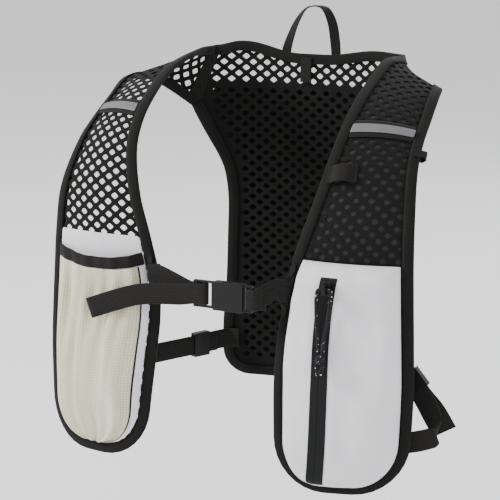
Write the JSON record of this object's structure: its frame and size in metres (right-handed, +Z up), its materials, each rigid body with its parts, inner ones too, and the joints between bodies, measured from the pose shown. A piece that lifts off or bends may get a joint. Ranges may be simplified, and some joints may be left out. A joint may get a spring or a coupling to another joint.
{
  "type": "running hydration vest",
  "caption": "Running hydration vest of open net with bound edges, an open mesh pocket, a zipped pocket, a buckled chest strap, side straps and a back sleeve.",
  "frame": {"origin": "midway between the wearer's shoulders, at the height of the cloth that rests on them", "axes": "+Z up, the wearer faces -Y, +X to the wearer's left"},
  "size_m": [0.4065, 0.2703, 0.4257],
  "materials": {
    "net": "open diamond net, matt",
    "binding": "folded ribbed tape, stitched",
    "white_cloth": "thin smooth stretch cloth",
    "cream_mesh": "fine soft mesh",
    "sleeve_cloth": "plain close weave",
    "webbing": "ribbed webbing",
    "reflective": "silver reflective tape",
    "plastic": "moulded, fine grain",
    "zip_tape": "coated zip tape",
    "cord": "braided cord"
  },
  "bodies": {
    "root": {"right_front_panel": "net", "left_front_panel": "net", "back_panel": "net", "right_front_binding": "binding", "left_front_binding": "binding", "right_arm_binding": "binding", "left_arm_binding": "binding", "back_edge_binding": "binding", "back_neck_binding": "binding", "right_lining": "white_cloth", "left_zip_pocket": "white_cloth", "right_mesh_pocket": "cream_mesh", "back_sleeve": "sleeve_cloth", "right_pocket_elastic": "webbing", "right_strap_tape": "webbing", "left_strap_tape": "webbing", "hose_keeper": "webbing", "arm_tab": "webbing", "hang_loop": "webbing", "sleeve_tab": "webbing", "right_chest_anchor": "webbing", "left_chest_anchor": "webbing", "right_chest_webbing": "webbing", "left_chest_webbing": "webbing", "right_side_back_webbing": "webbing", "right_side_front_webbing": "webbing", "left_side_front_webbing": "webbing", "left_side_back_webbing": "webbing", "right_reflector": "reflective", "left_reflector": "reflective", "left_zip_slider": "plastic", "buckle_plug": "plastic", "buckle_socket": "plastic", "right_side_slider": "plastic", "left_side_slider": "plastic", "left_zip_tape": "zip_tape", "zip_pull_cord": "cord", "zip_pull_knot": "cord"}
  },
  "joints": []
}
